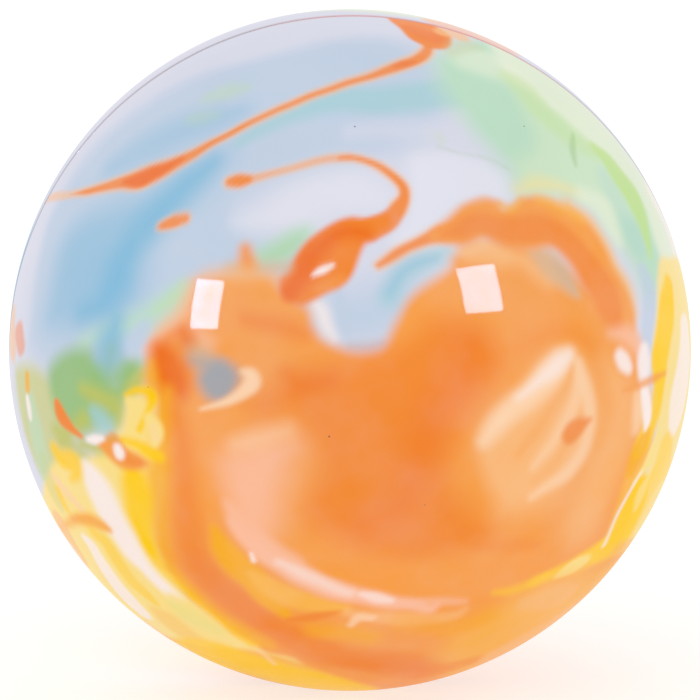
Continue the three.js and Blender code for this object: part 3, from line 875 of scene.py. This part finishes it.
def turned_mesh(name, profile, segments, matrix):
    """A closed mesh: a profile of (radius, height) turned about Z, then set by a matrix."""
    points, rows = [], []
    for radius, height in profile:
        count = segments if radius > 0 else 1
        rows.append([len(points) + k for k in range(count)])
        for k in range(count):
            angle = 2 * math.pi * k / segments
            points.append(matrix @ Vector((radius * math.cos(angle), radius * math.sin(angle), height)))
    faces = []
    for low, high in zip(rows, rows[1:] if profile[0][0] == 0 else rows[1:] + rows[:1]):
        for k in range(segments):
            corners = (low[k % len(low)], low[(k + 1) % len(low)],
                       high[(k + 1) % len(high)], high[k % len(high)])
            faces.append(list(dict.fromkeys(corners)))
    mesh = bpy.data.meshes.new(name)
    mesh.from_pydata(points, [], faces)
    return mesh


def seam_bead(material):
    """The ring of cement between the two lips, a little below the surface."""
    half = SEAM_HALF_WIDTH - BEAD_CLEARANCE
    face, floor = BALL_RADIUS - BEAD_RECESS, BALL_RADIUS - BEAD_DEPTH
    profile = [(floor, -half), (face - half, -half), (face, 0), (face - half, half), (floor, half)]
    mesh = turned_mesh("seam_bead_ring", profile, BEAD_SEGMENTS, Matrix.Rotation(math.pi / 2, 4, "X"))
    finish_piece(mesh, "seam_bead", material)


def arc(radius, from_height, to_height, steps):
    """Points (radius, height) on a meridian of a ball."""
    angles = np.linspace(math.asin(from_height / radius), math.asin(to_height / radius), steps + 1)
    return [(radius * math.cos(a), radius * math.sin(a)) for a in angles]


def cork_cup(name, node, turn, material):
    """Half of the cork layer, with a small round along both edges of its rim."""
    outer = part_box(node)[1][0]
    inner = outer - CORK_WALL
    rim = FIT / 2
    profile = [(0, inner)] + arc(inner, inner, rim + CORK_ROUND, CENTRE_STEPS)[1:]
    profile += [(inner + CORK_ROUND, rim), (outer - CORK_ROUND, rim)]
    profile += arc(outer, rim + CORK_ROUND, outer, CENTRE_STEPS)[:-1] + [(0, outer)]
    mesh = turned_mesh(name, profile, CENTRE_SEGMENTS, Matrix.Rotation(turn, 4, "X"))
    finish_piece(mesh, node, material)


def core_pill(material):
    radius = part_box("core_pill")[1][1]
    profile = [(0, -radius)] + arc(radius, -radius, radius, CENTRE_STEPS * 2)[1:-1] + [(0, radius)]
    mesh = turned_mesh("core_pill_ball", profile, CENTRE_SEGMENTS, Matrix.Identity(4))
    finish_piece(mesh, "core_pill", material)


def winding(name, node, yarn, turn_to_z, material):
    """One strand of twisted plies, wound from pole to pole in even turns along the solid's own spiral."""
    path_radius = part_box(node)[1][0] - yarn / 2
    pole = math.asin((yarn + TURN_GAP) / path_radius)
    turns = path_radius * (math.pi - 2 * pole) / (yarn + TURN_GAP)
    share = np.linspace(0, 1, round(turns * STRAND_STEPS) + 1)
    polar, around = pole + (math.pi - 2 * pole) * share, 2 * math.pi * turns * share
    level = np.sin(polar)
    outward = np.column_stack((level * np.sin(around), np.cos(polar), level * np.cos(around)))
    path = path_radius * outward
    run = np.concatenate(((0,), np.cumsum(np.linalg.norm(np.diff(path, axis=0), axis=1))))
    sideways = np.cross(outward, np.gradient(path, axis=0))
    sideways /= np.linalg.norm(sideways, axis=1)[:, None]
    angle = np.linspace(0, 2 * math.pi, STRAND_SIDES, endpoint=False)
    ply = np.abs(np.cos(PLIES / 2 * (angle[None] - run[:, None] * 2 * math.pi / LAY_LENGTH)))
    reach = yarn / 2 * (1 - PLY_DEPTH * (1 - ply))
    points = (path[:, None] + outward[:, None] * (reach * np.cos(angle))[..., None]
              + sideways[:, None] * (reach * np.sin(angle))[..., None]).reshape(-1, 3)
    if turn_to_z:
        points = points[:, (0, 2, 1)] * (1, -1, 1)
    number = np.arange(len(points)).reshape(-1, STRAND_SIDES)
    beside = np.roll(number, -1, axis=1)
    faces = np.stack((number[:-1], number[1:], beside[1:], beside[:-1]), -1).reshape(-1, 4).tolist()
    faces += [number[0].tolist(), number[-1][::-1].tolist()]
    mesh = bpy.data.meshes.new(name)
    mesh.from_pydata(points, [], faces)
    mesh.attributes.new("ply", "FLOAT", "POINT").data.foreach_set("value", ply.ravel().astype(np.float32))
    finish_piece(mesh, node, material)


def empty_tree(owner):
    """The node tree of a new material or world, with nothing in it."""
    owner.use_nodes = True
    owner.node_tree.nodes.clear()
    return owner.node_tree


def add(tree, kind, inputs=(), **settings):
    """A new node with its settings and its inputs, each a value or a socket to join."""
    node = tree.nodes.new("ShaderNode" + kind)
    for key, value in settings.items():
        setattr(node, key, value)
    for key, value in dict(inputs).items():
        if isinstance(value, bpy.types.NodeSocket):
            tree.links.new(value, node.inputs[key])
        else:
            node.inputs[key].default_value = value
    return node


def shader_material(name, **values):
    """A new material, its tree, its Principled shader with plain values, and places on the object."""
    material = bpy.data.materials.new(name)
    tree = empty_tree(material)
    shader = add(tree, "BsdfPrincipled", {key.replace("_", " "): value for key, value in values.items()})
    add(tree, "OutputMaterial", {"Surface": shader.outputs["BSDF"]})
    return material, tree, shader, add(tree, "TexCoord").outputs["Object"]


def noise(tree, place, scale, detail=3.0):
    return add(tree, "TexNoise", {"Vector": place, "Scale": scale, "Detail": detail}).outputs["Fac"]


def cells(tree, place, scale):
    """Uneven cells: the distance from the middle of each, and a number of its own from 0 to 1."""
    node = add(tree, "TexVoronoi", {"Vector": place, "Scale": scale})
    own = add(tree, "SeparateColor", {"Color": node.outputs["Color"]}).outputs["Red"]
    return node.outputs["Distance"], own


def span(tree, value, within, to=(0, 1)):
    """Value within a low and a high end, set out smoothly from one number to another."""
    inputs = {"Value": value, "From Min": within[0], "From Max": within[1], "To Min": to[0], "To Max": to[1]}
    return add(tree, "MapRange", inputs, interpolation_type="SMOOTHSTEP").outputs["Result"]


def calc(tree, operation, first, second):
    return add(tree, "Math", {0: first, 1: second}, operation=operation).outputs["Value"]


def blend(tree, share, first, second):
    """A mix of two colours, each a socket or 8-bit sRGB."""
    inputs = {"Factor": share}
    for key, colour in ((MIX_FIRST, first), (MIX_SECOND, second)):
        inputs[key] = colour if isinstance(colour, bpy.types.NodeSocket) else (*linear(colour), 1)
    return add(tree, "Mix", inputs, data_type="RGBA").outputs[MIX_RESULT]


def bump(tree, shader, height, strength, distance):
    normal = add(tree, "Bump", {"Height": height, "Strength": strength, "Distance": distance})
    tree.links.new(normal.outputs["Normal"], shader.inputs["Normal"])


def stretched(tree, place, scale, rotation):
    return add(tree, "Mapping", {"Vector": place, "Scale": scale, "Rotation": rotation}).outputs["Vector"]


def marbled_plastic():
    """Glossy plastic: the painted pigments with their painted glints and seam shade, faintly clouded, with
    fine specks and scuffs.
    """
    material, tree, shader, place = shader_material("marbled_plastic", Specular_IOR_Level=0.0,
                                                    Coat_Weight=0.28, Coat_Roughness=0.045)
    clouded = add(tree, "HueSaturation", {
        "Color": add(tree, "Attribute", attribute_name="marbling").outputs["Color"],
        "Value": span(tree, noise(tree, place, scale=70), NOISE_RANGE, to=(0.985, 1.01)),
        "Saturation": span(tree, noise(tree, place, scale=110), NOISE_RANGE, to=(0.97, 1.04)),
    }).outputs["Color"]
    distance, own = cells(tree, place, scale=270)
    round_dots = span(tree, distance, within=(0.018, 0.04), to=(1, 0))
    chosen = span(tree, own, within=(0.66, 0.68), to=(0, 0.7))
    specks = calc(tree, "MULTIPLY", round_dots, chosen)
    tree.links.new(blend(tree, specks, clouded, SPECK), shader.inputs["Base Color"])

    lines = stretched(tree, place, scale=(30, 420, 60), rotation=(0.4, 0.9, 0.3))
    scuffs = span(tree, noise(tree, lines, scale=8, detail=2), within=(0.66, 0.72))
    worn = calc(tree, "MULTIPLY", scuffs, span(tree, noise(tree, place, scale=90), within=(0.5, 0.65)))
    gloss = span(tree, noise(tree, place, scale=60), NOISE_RANGE, to=(0.05, 0.09))
    dulled = calc(tree, "ADD", gloss, calc(tree, "MULTIPLY", worn, SCUFF_ROUGHNESS))
    tree.links.new(dulled, shader.inputs["Roughness"])
    skin = noise(tree, place, scale=420, detail=2)
    bump(tree, shader, calc(tree, "ADD", skin, worn), strength=0.03, distance=0.0002)
    return material


def seam_cement():
    material, tree, shader, place = shader_material("seam_cement", Roughness=0.45)
    grain = span(tree, noise(tree, place, scale=90, detail=4), NOISE_RANGE)
    tree.links.new(blend(tree, grain, CEMENT_DARK, CEMENT_PALE), shader.inputs["Base Color"])
    bump(tree, shader, noise(tree, place, scale=2500, detail=2), strength=0.3, distance=0.0001)
    return material


def yarn_wool():
    """Undyed yarn, with painted shade in the grooves between its plies."""
    material, tree, shader, place = shader_material("yarn_wool", Roughness=0.95, Sheen_Weight=0.2)
    drawn_out = stretched(tree, place, scale=(900, 900, 2600), rotation=(0.5, 0.3, 0))
    fibres = noise(tree, drawn_out, scale=1, detail=4)
    wool = blend(tree, span(tree, fibres, NOISE_RANGE), YARN_DARK, YARN_PALE)
    ply = add(tree, "Attribute", attribute_name="ply").outputs["Fac"]
    # Painted shade: darker down in the grooves between the plies
    groove_shaded = blend(tree, span(tree, ply, within=(0.1, 0.7)), YARN_GROOVE_SHADE, wool)
    tree.links.new(groove_shaded, shader.inputs["Base Color"])
    bump(tree, shader, fibres, strength=0.6, distance=0.0003)
    return material


def pressed_cork():
    """Granules of many browns, with dark pores between them."""
    material, tree, shader, place = shader_material("pressed_cork", Roughness=0.88)
    distance, own = cells(tree, place, scale=480)
    pores = span(tree, noise(tree, place, scale=700), within=(0.62, 0.7))
    granules = blend(tree, own, CORK_DARK, CORK_PALE)
    tree.links.new(blend(tree, pores, granules, CORK_PORE), shader.inputs["Base Color"])
    bump(tree, shader, calc(tree, "SUBTRACT", distance, pores), strength=0.5, distance=0.0004)
    return material


def cork_rubber():
    """Dark rubber with cork crumbs in it."""
    material, tree, shader, place = shader_material("cork_rubber", Roughness=0.8)
    distance, own = cells(tree, place, scale=620)
    crumbs = span(tree, own, within=(0.55, 0.85))
    tree.links.new(blend(tree, crumbs, RUBBER, CRUMB), shader.inputs["Base Color"])
    rough = calc(tree, "ADD", distance, noise(tree, place, scale=900))
    bump(tree, shader, rough, strength=0.4, distance=0.0003)
    return material


def make_ball():
    plastic = marbled_plastic()
    front_cover(plastic)
    rear_cover(plastic)
    seam_bead(seam_cement())
    yarn = yarn_wool()
    winding("outer_winding_yarn", "outer_winding", OUTER_YARN, True, yarn)
    winding("inner_winding_yarn", "inner_winding", INNER_YARN, False, yarn)
    cork = pressed_cork()
    cork_cup("upper_cork_half", "upper_cork_cup", 0, cork)
    cork_cup("lower_cork_half", "lower_cork_cup", math.pi, cork)
    core_pill(cork_rubber())


def seen_or_mirrored(tree):
    """1 for rays from the camera and for those in a reflection or through glass, and 0 for the rest."""
    path = add(tree, "LightPath").outputs
    either = calc(tree, "MAXIMUM", path["Is Camera Ray"], path["Is Glossy Ray"])
    return calc(tree, "MAXIMUM", either, path["Is Transmission Ray"])


def make_world():
    world = bpy.data.worlds.new("studio")
    bpy.context.scene.world = world
    tree = empty_tree(world)
    background = add(tree, "Background", {"Color": WHITE_LIGHT, "Strength": WORLD_LEVEL})
    add(tree, "OutputWorld", {"Surface": background.outputs["Background"]})


def make_floor():
    """A wide pale floor that looks white where no shadow falls on it."""
    material = bpy.data.materials.new("floor")
    tree = empty_tree(material)
    lift = calc(tree, "MULTIPLY", seen_or_mirrored(tree), FLOOR_LIFT)
    glowing = calc(tree, "ADD", lift, FLOOR_GLOW)
    paint = add(tree, "BsdfDiffuse", {"Color": FLOOR_COLOUR})
    glow = add(tree, "Emission", {"Color": WHITE_LIGHT, "Strength": glowing})
    both = add(tree, "AddShader", {0: paint.outputs["BSDF"], 1: glow.outputs["Emission"]})
    add(tree, "OutputMaterial", {"Surface": both.outputs["Shader"]})
    height = cad_box[0][2]
    corners = [(FLOOR_REACH * x, FLOOR_REACH * y, height) for x, y in ((-1, -1), (1, -1), (1, 1), (-1, 1))]
    mesh = bpy.data.meshes.new("floor")
    mesh.from_pydata(corners, [], [(0, 1, 2, 3)])
    mesh.materials.append(material)
    put_in_scene("floor", mesh)


def make_softbox(name, direction, roll, size, radiance):
    """A soft light that only the glossy cover mirrors; direction is right, up and towards the camera."""
    light = bpy.data.lights.new(name, "AREA")
    light.shape = "RECTANGLE"
    light.color = SOFTBOX_COLOUR
    light.size, light.size_y = size
    light.energy = math.pi * size[0] * size[1] * radiance
    lamp = put_in_scene(name, light)
    toward = sum((axis * share for axis, share in zip(view_axes(), direction)), Vector()).normalized()
    lamp.location = toward * SOFTBOX_DISTANCE
    lamp.rotation_euler = (toward.to_track_quat("Z", "Y") @ Quaternion((0, 0, 1), roll)).to_euler()
    lamp.visible_camera = False
    lamp.visible_diffuse = False


def make_camera():
    right, up, back = view_axes()
    camera = bpy.data.cameras.new("camera")
    camera.sensor_width = SENSOR_WIDTH
    outline_angle = math.asin(BALL_RADIUS / VIEW_DISTANCE)
    camera.lens = SENSOR_WIDTH * OUTLINE_RADIUS / IMAGE_SIZE / math.tan(outline_angle)
    holder = put_in_scene("camera", camera)
    holder.matrix_world = Matrix((right, up, back)).transposed().to_4x4()
    holder.location = back * VIEW_DISTANCE
    bpy.context.scene.camera = holder


make_camera()
make_ball()
make_floor()
make_world()
make_softbox("softbox_left", LEFT_SOFTBOX, LEFT_SOFTBOX_ROLL, LEFT_SOFTBOX_SIZE, LEFT_SOFTBOX_RADIANCE)
make_softbox("softbox_right", RIGHT_SOFTBOX, RIGHT_SOFTBOX_ROLL, RIGHT_SOFTBOX_SIZE, RIGHT_SOFTBOX_RADIANCE)
bpy.context.scene.view_settings.view_transform = "Standard"
